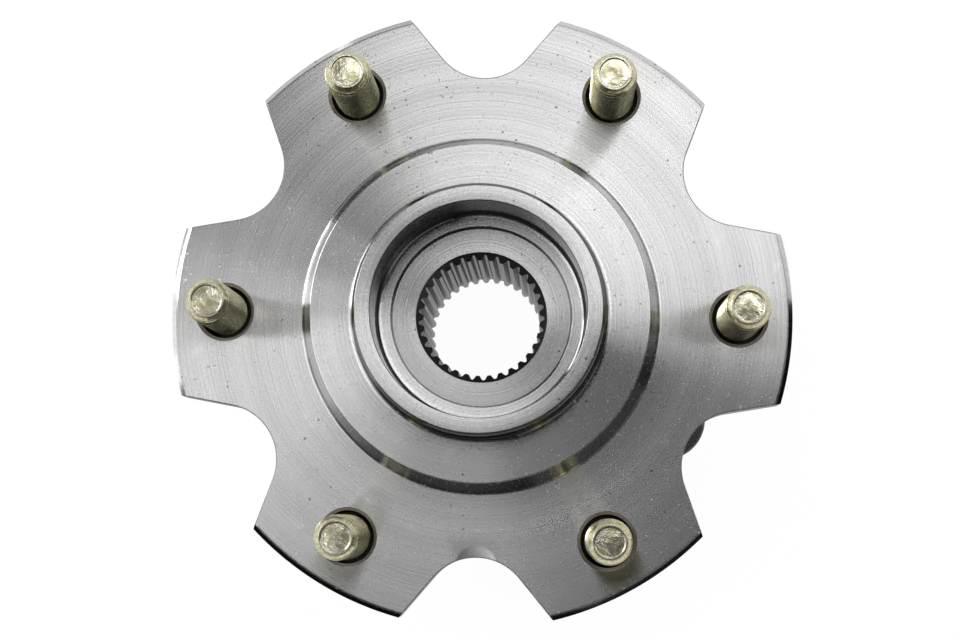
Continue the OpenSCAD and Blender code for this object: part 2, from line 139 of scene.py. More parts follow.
# Makes the mesh of a shell: doubles merged, normals outwards, smooth up to an angle. The seam round
# a flat face is always sharp, so that its neighbours' slopes don't bend its shading.
def makePiece(name, shell, materials, body, replaced, sharpAngle=28):
    mesh = bpy.data.meshes.new(name)
    mesh.from_pydata((np.concatenate(shell["points"]) * mm).tolist(), [], shell["faces"])
    mesh.polygons.foreach_set("material_index", shell["finish"])
    mesh.attributes.new("flat", "INT", "FACE").data.foreach_set("value", shell["flat"])
    work = bmesh.new()
    work.from_mesh(mesh)
    flat = work.faces.layers.int["flat"]
    bmesh.ops.remove_doubles(work, verts=work.verts, dist=2e-6)
    bmesh.ops.dissolve_degenerate(work, edges=work.edges, dist=1e-7)
    bmesh.ops.recalc_face_normals(work, faces=work.faces)
    openEdges = sum(1 for edge in work.edges if not edge.is_manifold)
    limit = radians(sharpAngle)
    for edge in work.edges:
        seam = len({face[flat] for face in edge.link_faces}) > 1
        edge.smooth = not seam and edge.calc_face_angle(0) < limit
    work.to_mesh(mesh)
    work.free()
    mesh.attributes.remove(mesh.attributes["flat"])
    mesh.polygons.foreach_set("use_smooth", np.ones(len(mesh.polygons), bool))
    for material in materials:
        mesh.materials.append(material)
    piece = bpy.data.objects.new(name, mesh)
    bpy.context.scene.collection.objects.link(piece)
    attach(piece, body)
    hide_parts(*replaced)
    print(name, "has", len(mesh.polygons), "faces and", openEdges, "open edges")
    return piece


# The camera stands where the photograph was taken from: almost square on, half a metre away

camera = {"focalLength": 73.84, "filmWidth": 36, "distance": 534.6, "tilt": 5.831, "pan": 2.191,
          "roll": 0.936, "aside": -0.14, "below": -1.38}


def makeCamera():
    data = bpy.data.cameras.new("camera")
    data.lens = camera["focalLength"]
    data.sensor_width = camera["filmWidth"]
    data.clip_start, data.clip_end = 0.01, 10
    eye = bpy.data.objects.new("camera", data)
    eye.rotation_euler = [radians(camera[k]) for k in ("tilt", "pan", "roll")]
    away = Vector((camera["aside"], camera["below"], camera["distance"])) * mm
    eye.location = eye.rotation_euler.to_matrix() @ away
    bpy.context.scene.collection.objects.link(eye)
    bpy.context.scene.camera = eye


# Soft boxes: azimuth on the picture (clockwise from the right) and angle from the axis in degrees,
# width round the axis and height along the arc towards it in metres, power in watts
softBoxes = {
    "upperRight": (315, 50, 0.60, 0.50, 0.35),
    "upperRightNear": (315, 42, 0.50, 0.30, 0.55),
    "rightNear": (325, 30, 0.42, 0.30, 0.9),
    "right": (352, 42, 0.18, 0.45, 0.18),
    "top": (270, 33, 0.35, 0.35, 0.52),
    "topFar": (280, 55, 0.40, 0.30, 0.35),
    "left": (176, 44, 0.45, 0.40, 0.88),
    "leftNear": (163, 30, 0.38, 0.30, 0.62),
    "lowLeft": (202, 68, 0.35, 0.30, 2.7),
    "horizonLeft": (163, 86, 0.40, 0.25, 0.3),
    "horizonTopLeft": (230, 86, 0.40, 0.25, 0.35),
    "besideCamera": (262, 14, 0.25, 0.25, 0.35),
    "bottomNear": (112, 22, 0.30, 0.20, 0.15),
    "lowRight": (45, 60, 0.70, 0.20, 0.14),
    "bevelLeft": (181, 79, 0.25, 0.18, 0.24),
    "bevelTop": (259, 79, 0.50, 0.18, 0.27),
    "bevelTopRight": (295, 79, 0.55, 0.18, 0.40),
    "bevelRight": (333, 79, 0.50, 0.18, 0.36),
}


# A box stands on a ball round the hub and faces its middle. Its direction from there is (sin lean
# cos turn, sin lean sin turn, cos lean).
def makeSoftBox(name, azimuth, lean, width, height, power, distance=0.8):
    data = bpy.data.lights.new(name, "AREA")
    data.shape, data.size, data.size_y, data.energy = "RECTANGLE", width, height, power
    lamp = bpy.data.objects.new(name, data)
    turn, lean = radians(-azimuth), radians(lean)
    away = Vector((sin(lean) * cos(turn), sin(lean) * sin(turn), cos(lean)))
    along = Vector((-sin(turn), cos(turn), 0))
    lamp.rotation_euler = Matrix((along, away.cross(along), away)).transposed().to_euler()
    lamp.location = away * distance
    bpy.context.scene.collection.objects.link(lamp)
    return lamp


# Node helpers. A feed is a plain value or another node's output, and settings are the node's own.
def addNode(tree, kind, feeds=None, **settings):
    node = tree.nodes.new("ShaderNode" + kind)
    for key, value in settings.items():
        setattr(node, key, value)
    for key, value in (feeds or {}).items():
        if isinstance(value, bpy.types.NodeSocket):
            tree.links.new(value, node.inputs[key])
        else:
            node.inputs[key].default_value = value
    return node


def calculate(tree, operation, first, second=0.0, third=0.0):
    return addNode(tree, "Math", {0: first, 1: second, 2: third}, operation=operation).outputs[0]


def vectorMath(tree, operation, first, second=(0, 0, 0), output=0):
    return addNode(tree, "VectorMath", {0: first, 1: second}, operation=operation).outputs[output]


# Low becomes newLow and high becomes newHigh, and values past them stay there
def rescale(tree, value, low, high, newLow=0.0, newHigh=1.0, kind="LINEAR"):
    node = addNode(tree, "MapRange", {"Value": value, "From Min": low, "From Max": high,
                                      "To Min": newLow, "To Max": newHigh}, interpolation_type=kind)
    return node.outputs[0]


# Opens a node group that takes Object coordinates at its socket "Place", and its numbers
def openGroup(name, numbers, outputs):
    group = bpy.data.node_groups.new(name, "ShaderNodeTree")
    group.interface.new_socket("Place", in_out="INPUT", socket_type="NodeSocketVector")
    for label, value in numbers.items():
        socket = group.interface.new_socket(label, in_out="INPUT", socket_type="NodeSocketFloat")
        socket.default_value = value
    for label in outputs:
        group.interface.new_socket(label, in_out="OUTPUT", socket_type="NodeSocketFloat")
    given = group.nodes.new("NodeGroupInput").outputs
    result = group.nodes.new("NodeGroupOutput").inputs
    return group, given, result


# Object coordinates counted in the group's own size, which is in millimetres
def sizedPlace(group, given):
    place = vectorMath(group, "SCALE", given["Place"])
    group.links.new(calculate(group, "DIVIDE", 1 / mm, given["Size"]), place.node.inputs["Scale"])
    return place


# The tool's fine grooves: noise along radius plus height, so that they ring the axis on flat faces
# and on walls alike. A slow wobble keeps them from being perfect circles.
def makeTurningLines():
    group, given, result = openGroup("turningLines", {"Spacing": 0.3}, ["Lines", "Bands"])
    place = vectorMath(group, "MULTIPLY", given["Place"], (1 / mm, 1 / mm, 1 / mm))
    radius = vectorMath(group, "LENGTH", vectorMath(group, "MULTIPLY", place, (1, 1, 0)), output=1)
    height = addNode(group, "SeparateXYZ", {0: place}).outputs["Z"]
    wobble = addNode(group, "TexNoise", {"Vector": place, "Scale": 0.06, "Detail": 2.0}).outputs[0]
    across = calculate(group, "ADD", calculate(group, "ADD", radius, height),
                       calculate(group, "MULTIPLY", wobble, 0.8))
    step = calculate(group, "DIVIDE", across, given["Spacing"])
    lines = addNode(group, "TexNoise", {"W": step, "Scale": 1.0, "Detail": 3.0, "Roughness": 0.7},
                    noise_dimensions="1D").outputs[0]
    bands = addNode(group, "TexNoise", {"W": step, "Scale": 0.09, "Detail": 2.0, "Roughness": 0.5},
                    noise_dimensions="1D").outputs[0]
    group.links.new(rescale(group, lines, 0.3, 0.7), result["Lines"])
    group.links.new(rescale(group, bands, 0.3, 0.7), result["Bands"])
    return group


# Even, fine roughness of a surface: noise at a size in millimetres
def makeGrain():
    group, given, result = openGroup("grain", {"Size": 0.5}, ["Grain"])
    place = sizedPlace(group, given)
    noise = addNode(group, "TexNoise", {"Vector": place, "Scale": 1.0, "Detail": 3.0,
                                        "Roughness": 0.6}).outputs[0]
    group.links.new(rescale(group, noise, 0.32, 0.68), result["Grain"])
    return group


# Small nicks and pits: one spot in some of the cells of a Voronoi pattern, its edge pushed about
# by noise. The cell's own random number says whether it has a light nick or a dark pit, and slow
# noise times both amounts gathers them in clusters.
def makeNicks():
    group, given, result = openGroup("nicks", {"Size": 1.8, "Amount": 0.1, "Pits": 0.0, "Reach": 0.2},
                                     ["Nicks", "Pits"])
    place = sizedPlace(group, given)
    push = addNode(group, "TexNoise", {"Vector": place, "Scale": 5.0, "Detail": 2.0}).outputs["Color"]
    push = vectorMath(group, "MULTIPLY", vectorMath(group, "SUBTRACT", push, (0.5, 0.5, 0.5)),
                      (0.35, 0.35, 0.35))
    cell = addNode(group, "TexVoronoi", {"Vector": vectorMath(group, "ADD", place, push), "Scale": 1.0})
    chance = addNode(group, "SeparateColor", {0: cell.outputs["Color"]}).outputs
    size = calculate(group, "MULTIPLY", given["Reach"],
                     rescale(group, chance[1], 0.0, 1.0, 0.4, 1.0))
    spot = calculate(group, "LESS_THAN", cell.outputs["Distance"], size)
    crowd = addNode(group, "TexNoise", {"Vector": place, "Scale": 0.11, "Detail": 1.0}).outputs[0]
    crowd = rescale(group, crowd, 0.42, 0.66, 0.15, 2.6)
    lightShare = calculate(group, "MULTIPLY", given["Amount"], crowd)
    darkShare = calculate(group, "MULTIPLY", given["Pits"], crowd)
    light = calculate(group, "LESS_THAN", chance[0], lightShare)
    dark = calculate(group, "GREATER_THAN", chance[0], calculate(group, "SUBTRACT", 1.0, darkShare))
    group.links.new(calculate(group, "MULTIPLY", light, spot), result["Nicks"])
    group.links.new(calculate(group, "MULTIPLY", dark, spot), result["Pits"])
    return group


# Short scratches: long thin cells, turned about the axis and bent a little by slow noise
def makeScratches():
    group, given, result = openGroup("scratches", {"Turn": 0.6, "Size": 1.2, "Amount": 0.05},
                                     ["Scratches"])
    place = sizedPlace(group, given)
    bend = addNode(group, "TexNoise", {"Vector": place, "Scale": 0.35, "Detail": 1.0}).outputs["Color"]
    place = vectorMath(group, "ADD", place, vectorMath(group, "MULTIPLY", bend, (1.6, 1.6, 0)))
    turned = addNode(group, "VectorRotate", {"Vector": place, "Angle": given["Turn"]},
                     rotation_type="Z_AXIS").outputs[0]
    long = vectorMath(group, "MULTIPLY", turned, (0.22, 1, 1))
    cell = addNode(group, "TexVoronoi", {"Vector": long, "Scale": 1.0})
    chance = addNode(group, "SeparateColor", {0: cell.outputs["Color"]}).outputs
    chosen = calculate(group, "LESS_THAN", chance[0], given["Amount"])
    line = calculate(group, "LESS_THAN", cell.outputs["Distance"], 0.13)
    group.links.new(calculate(group, "MULTIPLY", chosen, line), result["Scratches"])
    return group


# Soft patches for stains, skin and dust: noise cut off at a level
def makePatches():
    group, given, result = openGroup("patches", {"Size": 12.0, "Amount": 0.4, "Softness": 0.12},
                                     ["Patches"])
    place = sizedPlace(group, given)
    noise = addNode(group, "TexNoise", {"Vector": place, "Scale": 1.0, "Detail": 5.0,
                                        "Roughness": 0.62}).outputs[0]
    level = calculate(group, "SUBTRACT", 1.0, given["Amount"])
    low = calculate(group, "SUBTRACT", level, given["Softness"])
    high = calculate(group, "ADD", level, given["Softness"])
    group.links.new(rescale(group, noise, low, high, kind="SMOOTHSTEP"), result["Patches"])
    return group


# Bare, bright metal along edges: where the rounded normal leaves the true one, broken up by noise
def makeEdgeWear():
    group, given, result = openGroup("edgeWear", {"Width": 0.6}, ["Wear"])
    width = calculate(group, "MULTIPLY", given["Width"], mm)
    rounded = addNode(group, "Bevel", {"Radius": width}, samples=4).outputs[0]
    true = addNode(group, "NewGeometry").outputs["Normal"]
    turn = calculate(group, "SUBTRACT", 1.0, vectorMath(group, "DOT_PRODUCT", rounded, true, output=1))
    noise = addNode(group, "TexNoise", {"Vector": given["Place"], "Scale": 900.0, "Detail": 3.0})
    worn = calculate(group, "MULTIPLY", rescale(group, turn, 0.01, 0.12),
                     rescale(group, noise.outputs[0], 0.35, 0.6))
    group.links.new(worn, result["Wear"])
    return group


def grey(level):
    return (level, level, level)


# What each finish looks like. Sizes are in millimetres, depths in micrometres.
finishes = {
    "turnedSteel": {"colour": grey(0.72), "dark": grey(0.38), "roughness": 0.23,
                    "anisotropy": 1.0, "spacing": 0.45, "lines": 0.38, "lineDepth": 0.7,
                    "grain": 0.34, "grainSize": 0.42, "grainDepth": 0.8, "nicks": 0.20,
                    "nickColour": grey(0.9), "pits": 0.08, "specks": 0.07, "scratches": 0.07,
                    "stains": 0.30, "stainSize": 9, "stainColour": grey(0.70),
                    "stainRough": 0.03},
    # Steep walls: smoother and less anisotropic than the faces, which is their ground finish, and
    # darker in colour, which is partly painted shade
    "wallSteel": {"colour": grey(0.56), "dark": grey(0.34), "roughness": 0.11,
                  "anisotropy": 0.3, "spacing": 0.35, "lines": 0.45, "lineDepth": 0.8,
                  "grain": 0.5, "grainSize": 0.5, "grainDepth": 1.5, "nicks": 0.06,
                  "nickColour": grey(0.7), "pits": 0.08, "stains": 0.36,
                  "stainColour": (0.26, 0.25, 0.24)},
    # Painted shade: a darker copy of the wall steel, for the steep walls round the pilot and the recess
    "recessSteelPaintedShade": {"colour": grey(0.21), "dark": grey(0.10), "roughness": 0.2,
                    "anisotropy": 0.3, "spacing": 0.35, "lines": 0.45, "lineDepth": 0.8,
                    "grain": 0.5, "grainSize": 0.5, "grainDepth": 1.5, "nicks": 0.06,
                    "nickColour": grey(0.35), "stains": 0.36,
                    "stainColour": (0.12, 0.115, 0.11)},
    "markSteel": {"colour": grey(0.74), "dark": grey(0.56), "roughness": 0.30,
                  "grain": 0.7, "grainSize": 0.7, "grainDepth": 10},
    "holeSteel": {"colour": (0.60, 0.57, 0.52), "dark": (0.34, 0.31, 0.27), "roughness": 0.5,
                  "metallic": 0.6, "grain": 0.8, "grainSize": 0.5, "grainDepth": 8, "stains": 0.36,
                  "stainColour": (0.22, 0.18, 0.13)},
    # Painted shade: near black and not metallic, on the walls of the stud holes and on each stud's
    # shank where it sits in its hole
    "holePaintedShade": {"colour": (0.035, 0.032, 0.028), "dark": grey(0.008), "roughness": 0.7,
              "metallic": 0, "grain": 0.8, "grainSize": 0.6, "grainDepth": 20},
    "forgedSkin": {"colour": (0.25, 0.24, 0.23), "dark": (0.12, 0.115, 0.11), "roughness": 0.5,
                   "grain": 0.8, "grainSize": 0.8, "grainDepth": 25, "nicks": 0.05,
                   "nickColour": grey(0.5), "stains": 0.35, "stainColour": (0.10, 0.085, 0.07),
                   "wear": 0.5},
    "boreSteel": {"colour": grey(0.17), "dark": grey(0.09), "roughness": 0.42,
                  "grain": 0.6, "grainSize": 0.5, "grainDepth": 5, "stains": 0.3,
                  "stainColour": (0.10, 0.10, 0.09)},
    "studZinc": {"colour": (0.80, 0.77, 0.53), "dark": (0.33, 0.305, 0.17), "roughness": 0.28,
                 "grain": 0.9, "grainSize": 0.6, "grainDepth": 10, "stains": 0.36, "stainSize": 5,
                 "stainColour": (0.30, 0.27, 0.12)},
    "studTip": {"colour": (0.97, 0.95, 0.78), "dark": (0.50, 0.47, 0.28), "roughness": 0.26,
                "grain": 1.0, "grainSize": 2.6, "grainDepth": 90, "stains": 0.38, "stainSize": 4.2,
                "stainColour": (0.13, 0.11, 0.05)},
    "studRim": {"colour": (0.80, 0.79, 0.70), "dark": (0.40, 0.38, 0.27), "roughness": 0.28,
                "grain": 0.9, "grainSize": 0.9, "grainDepth": 12},
    "ringSkin": {"colour": (0.19, 0.19, 0.195), "dark": (0.09, 0.09, 0.095), "roughness": 0.5,
                 "metallic": 0.5, "grain": 0.9, "grainSize": 0.9, "grainDepth": 30, "nicks": 0.06,
                 "nickColour": grey(0.3), "stains": 0.3, "stainColour": (0.10, 0.085, 0.07),
                 "wear": 0.7},
    "ringTurned": {"colour": (0.46, 0.46, 0.47), "dark": (0.30, 0.30, 0.31), "roughness": 0.34,
                   "anisotropy": 0.85, "spacing": 0.4, "lines": 0.5, "lineDepth": 2,
                   "grain": 0.4, "grainSize": 0.6, "grainDepth": 2, "nicks": 0.05,
                   "nickColour": grey(0.7), "stains": 0.33,
                   "stainColour": (0.24, 0.20, 0.16)},
    "groundSteel": {"colour": (0.62, 0.625, 0.64), "dark": (0.48, 0.485, 0.50), "roughness": 0.2,
                    "anisotropy": 0.7, "spacing": 0.25, "lines": 0.35, "lineDepth": 0.6,
                    "grain": 0.3, "grainSize": 0.5, "grainDepth": 0.8, "stains": 0.3,
                    "stainColour": (0.46, 0.42, 0.34)},
    "rollerSteel": {"colour": (0.72, 0.72, 0.74), "dark": (0.60, 0.60, 0.62), "roughness": 0.14,
                    "grain": 0.4, "grainSize": 0.8, "grainDepth": 0.6, "stains": 0.3,
                    "stainColour": (0.55, 0.50, 0.38)},
    "clipSteel": {"colour": (0.42, 0.43, 0.47), "dark": (0.28, 0.29, 0.33), "roughness": 0.3,
                  "grain": 0.4, "grainSize": 0.6, "grainDepth": 2, "stains": 0.4,
                  "stainColour": (0.22, 0.22, 0.30)},
    "sealSteel": {"colour": (0.56, 0.56, 0.57), "dark": (0.40, 0.40, 0.41), "roughness": 0.3,
                  "anisotropy": 0.5, "spacing": 0.6, "lines": 0.3, "lineDepth": 1,
                  "grain": 0.3, "grainSize": 0.7, "grainDepth": 2, "nicks": 0.04,
                  "nickColour": grey(0.7), "stains": 0.3, "stainColour": (0.35, 0.32, 0.28)},
    "cagePlastic": {"colour": (0.66, 0.55, 0.33), "dark": (0.52, 0.42, 0.24), "roughness": 0.5,
                    "metallic": 0, "grain": 0.7, "grainSize": 0.25, "grainDepth": 5, "stains": 0.35,
                    "stainColour": (0.50, 0.38, 0.20)},
    "sealRubber": {"colour": grey(0.035), "dark": grey(0.018),
                   "roughness": 0.55, "metallic": 0, "grain": 0.8, "grainSize": 0.5,
                   "grainDepth": 8, "stains": 0.3, "stainColour": (0.07, 0.065, 0.055)},
    "encoderRubber": {"colour": (0.075, 0.062, 0.055), "dark": (0.045, 0.038, 0.033),
                      "roughness": 0.62, "metallic": 0, "grain": 1.0, "grainSize": 0.3,
                      "grainDepth": 6, "stains": 0.3, "stainColour": (0.12, 0.11, 0.10)},
}


# A share of 0 gives the first colour and 1 the second
def mixColour(tree, share, first, second):
    node = addNode(tree, "Mix", {0: share}, data_type="RGBA")
    for socket, value in ((node.inputs[6], first), (node.inputs[7], second)):
        if isinstance(value, bpy.types.NodeSocket):
            tree.links.new(value, socket)
        else:
            socket.default_value = (*value, 1)
    return node.outputs[2]


bumpUnit = 1e-6  # one micrometre
pitColour = grey(0.08)
wornColour = grey(0.55)


# Builds the material of a finish. Its tone goes from dark to light with the lines and the grain,
# stains, nicks and wear lie over it, and their heights together feed one bump.
def makeFinish(name, groups):
    look = finishes[name]
    material = bpy.data.materials.new(name)
    material.use_nodes = True
    tree = material.node_tree
    shader = tree.nodes["Principled BSDF"]
    shader.inputs["Metallic"].default_value = look.get("metallic", 1)
    place = addNode(tree, "TexCoord").outputs["Object"]

    def effect(kind, output, **numbers):
        node = tree.nodes.new("ShaderNodeGroup")
        node.node_tree = groups[kind]
        tree.links.new(place, node.inputs["Place"])
        for key, value in numbers.items():
            node.inputs[key].default_value = value
        return node.outputs[output]

    # Lays a mark over the surface: its colour by a share, and more roughness and height where it is
    def layMark(mask, tint, share, rough=0.0, height=0.0):
        surface["colour"] = mixColour(tree, calculate(tree, "MULTIPLY", mask, share),
                                      surface["colour"], tint)
        if rough:
            surface["rough"] = calculate(tree, "MULTIPLY_ADD", mask, rough, surface["rough"])
        if height:
            surface["relief"] = calculate(tree, "MULTIPLY_ADD", mask, height, surface["relief"])

    grain = effect("grain", "Grain", Size=look["grainSize"])
    tone = calculate(tree, "MULTIPLY_ADD", grain, look["grain"], 0.5 - look["grain"] / 2)
    relief = calculate(tree, "MULTIPLY", grain, look["grainDepth"])
    if "lines" in look:
        lines = effect("lines", "Lines", Spacing=look["spacing"])
        bands = lines.node.outputs["Bands"]
        tone = calculate(tree, "MULTIPLY_ADD", lines, look["lines"],
                         calculate(tree, "SUBTRACT", tone, look["lines"] / 2))
        tone = calculate(tree, "MULTIPLY_ADD", bands, 0.14, calculate(tree, "SUBTRACT", tone, 0.07))
        relief = calculate(tree, "MULTIPLY_ADD", lines, look["lineDepth"], relief)
    tone = calculate(tree, "MAXIMUM", calculate(tree, "MINIMUM", tone, 1.0), 0.0)
    surface = {"colour": mixColour(tree, tone, look["dark"], look["colour"]), "relief": relief,
               "rough": rescale(tree, tone, 0.0, 1.0, look["roughness"] * 1.15,
                                look["roughness"] * 0.88)}
    if "stains" in look:
        stains = effect("patches", "Patches", Size=look.get("stainSize", 14), Amount=look["stains"])
        layMark(stains, look["stainColour"], share=0.7, rough=look.get("stainRough", 0.12))
    if "nicks" in look:
        nicks = effect("nicks", "Nicks", Amount=look["nicks"], Pits=look.get("pits", 0.0))
        layMark(nicks, look["nickColour"], share=0.8, rough=0.3, height=-8.0)
        layMark(nicks.node.outputs["Pits"], pitColour, share=0.7, height=-14.0)
    if "specks" in look:
        specks = effect("nicks", "Nicks", Size=0.55, Amount=look["specks"], Reach=0.34)
        layMark(specks, look["nickColour"], share=0.7, rough=0.35)
    if "scratches" in look:
        scratches = effect("scratches", "Scratches", Amount=look["scratches"])
        layMark(scratches, look["nickColour"], share=0.6, rough=0.25, height=-8.0)
    if "wear" in look:
        layMark(effect("edgeWear", "Wear", Width=0.6), wornColour, share=look["wear"])
    bump = addNode(tree, "Bump", {"Height": surface["relief"], "Distance": bumpUnit, "Strength": 1.0})
    tree.links.new(surface["colour"], shader.inputs["Base Color"])
    tree.links.new(surface["rough"], shader.inputs["Roughness"])
    tree.links.new(bump.outputs[0], shader.inputs["Normal"])
    if "anisotropy" in look:
        # The grooves run round the axis, so a highlight spreads along the radius
        shader.inputs["Anisotropic"].default_value = look["anisotropy"]
        shader.inputs["Anisotropic Rotation"].default_value = 0.25
        groove = vectorMath(tree, "CROSS_PRODUCT", (0, 0, 1), place)
        tree.links.new(vectorMath(tree, "NORMALIZE", groove), shader.inputs["Tangent"])
    return material


# Wheel flange: one forging with its boss, pilot and spindle

hub = {"flangeR": 84.4, "flangeT": 12, "bevelW": 1.5, "bevelH": 1, "backChamfer": 1, "lobes": 6,
       "notchFloorR": 65.5, "notchRoundR": 15, "notchSide": 40, "edgeBreak": 0.25,
       "studCircleR": 69.85, "holeR": 7.15, "holeChamfer": 0.9, "nutSeatZ": -6, "nutSeatR": 24.4,
       "nutSeatEdge": 0.5, "recessZ": -4.3, "recessR": 28.8, "pilotR": 33.55, "pilotZ": 16.5,
       "pilotChamfer": 0.8, "pilotFillet": 2, "bossR": 45.7, "bossZ": 7.5, "bossFootR": 48.3,
       "middleR": 58, "shoulderR": 35, "shoulderZ": -18.5, "spindleR": 23, "formedR": 28,
       "formedZ": -61, "endZ": -64, "markCentreR": 67.85, "markR": 5.75, "markDepth": 0.4,
       "teeth": 33, "pitchR": 16.5, "tipR": 16, "rootR": 17.25, "toothAngle": 30,
       "toothChamfer": 2.05, "leadIn": 4}

# Radius, height and rounding of the corners, from the nut seat out to the flange face
frontCorners = [(hub["nutSeatR"], hub["nutSeatZ"], 0),
                (hub["nutSeatR"] + hub["nutSeatEdge"], hub["recessZ"], 0.25),
                (hub["recessR"], hub["recessZ"], 1.7), (hub["recessR"], hub["pilotZ"], 0.35),
                (hub["pilotR"] - hub["pilotChamfer"], hub["pilotZ"], 0.2),
                (hub["pilotR"], hub["pilotZ"] - hub["pilotChamfer"], 0.25),
                (hub["pilotR"], hub["bossZ"], hub["pilotFillet"]), (hub["bossR"], hub["bossZ"], 0.4),
                (hub["bossFootR"], 0, 1.0), (hub["middleR"], 0, 0)]
# The same from the back of the flange down the spindle to its formed end
backCorners = [(hub["middleR"], -hub["flangeT"], 0), (hub["shoulderR"], -hub["flangeT"], 6),
               (hub["shoulderR"], hub["shoulderZ"], 0.3), (hub["spindleR"], hub["shoulderZ"], 1.2),
               (hub["spindleR"], hub["formedZ"], 0), (hub["formedR"], hub["formedZ"], 0.2),
               (hub["formedR"], hub["endZ"], 2.2), (hub["formedR"] - 3, hub["endZ"], 0)]


# Outline of the flange with its rim at a radius, moved into the metal by an offset. A notch is an
# arc with a straight side at each end, and a lobe is an arc of the rim from corner to corner.
def flangeOutline(rimR, offset, arcSteps=36, sideSteps=8, lobeSteps=40):
    centre = hub["notchFloorR"] + hub["notchRoundR"]
    side = radians(hub["notchSide"])
    bend = np.linspace(1.5 * pi - side, pi / 2 + side, arcSteps + 1)
    r = hub["notchRoundR"] + offset
    arc = np.column_stack((centre + r * np.cos(bend), r * np.sin(bend)))
    along = np.array((cos(side), sin(side)))
    start = arc[-1]
    reach = sqrt((start @ along) ** 2 + rimR ** 2 - start @ start) - start @ along
    upper = start + np.linspace(0, reach, sideSteps + 1)[:, None] * along
    corner = atan2(upper[-1][1], upper[-1][0])
    rim = np.linspace(corner, 2 * pi / hub["lobes"] - corner, lobeSteps + 1)
    lobe = rimR * np.column_stack((np.cos(rim), np.sin(rim)))
    part = np.concatenate((upper[:0:-1] * (1, -1), arc[:-1], upper[:-1], lobe[:-1]))
    return turnedCopies(part, circleAngles(hub["lobes"], pi / hub["lobes"]))


# Height of the forging mark, zero on the flange face round it: a ball's surface where it is below
# the face. The ball's radius is (mark radius squared + depth squared) / twice the depth.
def forgingMark(points):
    away = np.hypot(points[:, 0], points[:, 1] + hub["markCentreR"])
    ball = (hub["markR"] ** 2 + hub["markDepth"] ** 2) / (2 * hub["markDepth"])
    depth = ball - hub["markDepth"] - np.sqrt(ball ** 2 - np.minimum(away, hub["markR"]) ** 2)
    return np.where(away < hub["markR"], depth, 0)


# The involute function of an angle: its tangent less the angle itself
def involute(angle):
    return np.tan(angle) - angle


# Half of a tooth space's angle at a radius: the half at the pitch circle plus the difference of the
# involute function between the pressure angle and the flank's own angle there
def spaceHalfAngle(radius):
    flat = radians(hub["toothAngle"])
    there = np.arccos(hub["pitchR"] * cos(flat) / radius)
    return pi / 2 / hub["teeth"] + involute(flat) - involute(there)


# One tooth pitch is half a space, a flank, the tooth tip, a flank and half a space. A row at a
# height stands out to the chamfer cones at both ends where they are wider than the teeth.
def splineGrid(flankSteps=5, rootSteps=4, tipSteps=5, coneSteps=9, middleSteps=8):
    pitch = 2 * pi / hub["teeth"]
    flankR = np.linspace(hub["rootR"], hub["tipR"], flankSteps)
    flank = spaceHalfAngle(flankR)
    root = np.linspace(0, flank[0], rootSteps)[:-1]
    tip = np.linspace(flank[-1], pitch - flank[-1], tipSteps)[1:-1]
    angle = np.concatenate((root, flank, tip, pitch - flank[::-1], pitch - root[:0:-1]))
    radius = np.concatenate((root * 0 + hub["rootR"], flankR, tip * 0 + hub["tipR"], flankR[::-1],
                             root[:0:-1] * 0 + hub["rootR"]))
    angle = (angle[None] + circleAngles(hub["teeth"])[:, None]).ravel()
    radius = np.tile(radius, hub["teeth"])
    seat, end = hub["nutSeatZ"], hub["endZ"]
    top = seat - np.linspace(0, hub["toothChamfer"], coneSteps)
    bottom = end + np.linspace(hub["leadIn"], 0, coneSteps)
    middle = np.linspace(top[-1], bottom[0], middleSteps)[1:-1]
    height = np.concatenate((top, middle, bottom))[:, None]
    cone = hub["tipR"] + np.maximum(hub["toothChamfer"] - seat + height,
                                    hub["leadIn"] + end - height)
    wide = np.maximum(radius[None], cone)
    return np.stack((wide * np.cos(angle), wide * np.sin(angle), height + 0 * wide), -1)


